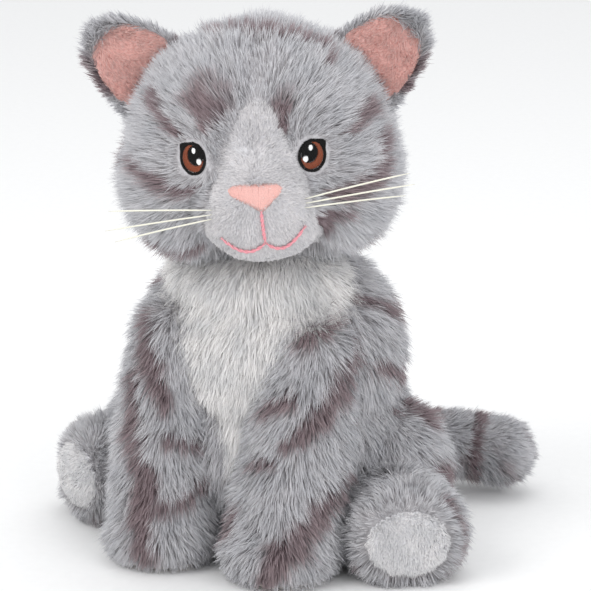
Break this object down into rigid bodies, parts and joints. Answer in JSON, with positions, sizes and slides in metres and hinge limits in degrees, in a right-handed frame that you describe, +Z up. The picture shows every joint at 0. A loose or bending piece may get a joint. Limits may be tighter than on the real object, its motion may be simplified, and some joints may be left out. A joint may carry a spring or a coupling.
{
  "type": "plush cat",
  "caption": "Seated plush tabby kitten with long grey striped pile, white face and bib, pink nose and ear linings, thread whiskers, white foot pads and a ringed tail",
  "frame": {"origin": "on the surface the toy sits on, at the front middle of its seat, 10 mm ahead of the body's vertical axis", "axes": "+Z up, -Y the way the body faces, +X the kitten's own left"},
  "size_m": [0.1945, 0.2003, 0.2378],
  "materials": {
    "base_cloth": "thin bare backing cloth with sparse pile",
    "black_thread": "satin stitch",
    "brown_thread": "satin stitch",
    "fibre_filling": "polyester fibre fill",
    "grey_thread": "plain thread",
    "pellets": "small smooth pellets",
    "pink_plush": "short pink pile",
    "pink_thread": "satin stitch",
    "pouch_cloth": "plain woven cotton",
    "tabby_long_pile": "long soft pile, grey with mauve-brown stripes",
    "whisker_thread": "waxed off-white thread",
    "white_long_pile": "longer soft white pile",
    "white_short_pile": "short velour pile",
    "white_thread": "satin stitch"
  },
  "bodies": {
    "body": {"body_side_left": "tabby_long_pile", "body_side_right": "tabby_long_pile", "chest_bib": "white_long_pile", "base_panel": "base_cloth", "body_stuffing": "fibre_filling", "bean_pouch": "pouch_cloth", "bean_fill": "pellets"},
    "neck": {"neck_stuffing": "fibre_filling", "neck_thread": "grey_thread"},
    "head": {"head_side_left": "tabby_long_pile", "head_side_right": "tabby_long_pile", "head_gusset": "tabby_long_pile", "face_panel": "white_short_pile", "head_stuffing": "fibre_filling", "nose_stitching": "pink_thread", "mouth_stitching": "pink_thread", "eye_outline_left": "black_thread", "eye_iris_left": "brown_thread", "eye_pupil_left": "black_thread", "eye_glints_left": "white_thread", "eye_outline_right": "black_thread", "eye_iris_right": "brown_thread", "eye_pupil_right": "black_thread", "eye_glints_right": "white_thread", "whisker_left_top": "whisker_thread", "whisker_left_middle": "whisker_thread", "whisker_left_bottom": "whisker_thread", "whisker_right_top": "whisker_thread", "whisker_right_middle": "whisker_thread", "whisker_right_bottom": "whisker_thread"},
    "ear_left": {"ear_back_left": "tabby_long_pile", "ear_lining_left": "pink_plush"},
    "ear_right": {"ear_back_right": "tabby_long_pile", "ear_lining_right": "pink_plush"},
    "front_leg_left": {"front_leg_left": "tabby_long_pile", "front_paw_sole_left": "base_cloth", "front_leg_stuffing_left": "fibre_filling"},
    "front_leg_right": {"front_leg_right": "tabby_long_pile", "front_paw_sole_right": "base_cloth", "front_leg_stuffing_right": "fibre_filling"},
    "hind_leg_left": {"hind_leg_left": "tabby_long_pile", "foot_pad_left": "white_short_pile", "hind_leg_stuffing_left": "fibre_filling"},
    "hind_leg_right": {"hind_leg_right": "tabby_long_pile", "foot_pad_right": "white_short_pile", "hind_leg_stuffing_right": "fibre_filling"},
    "tail": {"tail_cover": "tabby_long_pile", "tail_stuffing": "fibre_filling"}
  },
  "joints": [
    {"name": "head_turn", "type": "hinge", "parent": "body", "child": "neck", "pos_m": [0, -0.006, 0.13], "axis": [0, 0, 1], "range_deg": [-50, 30], "stiffness_Nm_per_rad": 0.6},
    {"name": "head_nod", "type": "hinge", "parent": "neck", "child": "head", "pos_m": [0, -0.006, 0.13], "axis": [0.9511, 0.309, 0], "range_deg": [-12, 12], "stiffness_Nm_per_rad": 1.2},
    {"name": "ear_left_fold", "type": "hinge", "parent": "head", "child": "ear_left", "pos_m": [0.04242, 0.00164, 0.20683], "axis": [-0.6892, -0.126, 0.7135], "range_deg": [-15, 20], "stiffness_Nm_per_rad": 0.02},
    {"name": "ear_right_fold", "type": "hinge", "parent": "head", "child": "ear_right", "pos_m": [-0.03843, -0.02463, 0.20312], "axis": [-0.57, -0.2831, -0.7713], "range_deg": [-15, 20], "stiffness_Nm_per_rad": 0.02},
    {"name": "front_leg_left_swing", "type": "hinge", "parent": "body", "child": "front_leg_left", "pos_m": [0.03, -0.023, 0.092], "axis": [-1, 0, 0], "range_deg": [0, 40], "stiffness_Nm_per_rad": 0.25},
    {"name": "front_leg_right_swing", "type": "hinge", "parent": "body", "child": "front_leg_right", "pos_m": [-0.03, -0.023, 0.092], "axis": [-1, 0, 0], "range_deg": [0, 40], "stiffness_Nm_per_rad": 0.25},
    {"name": "hind_leg_left_lift", "type": "hinge", "parent": "body", "child": "hind_leg_left", "pos_m": [0.0495, 0.016, 0.0284], "axis": [-1, 0, 0], "range_deg": [0, 25], "stiffness_Nm_per_rad": 0.25},
    {"name": "hind_leg_right_lift", "type": "hinge", "parent": "body", "child": "hind_leg_right", "pos_m": [-0.052, 0.016, 0.0284], "axis": [-1, 0, 0], "range_deg": [0, 25], "stiffness_Nm_per_rad": 0.25},
    {"name": "tail_swing", "type": "hinge", "parent": "body", "child": "tail", "pos_m": [0.017, 0.067, 0.025], "axis": [0, 0, 1], "range_deg": [-8, 45], "stiffness_Nm_per_rad": 0.08}
  ]
}
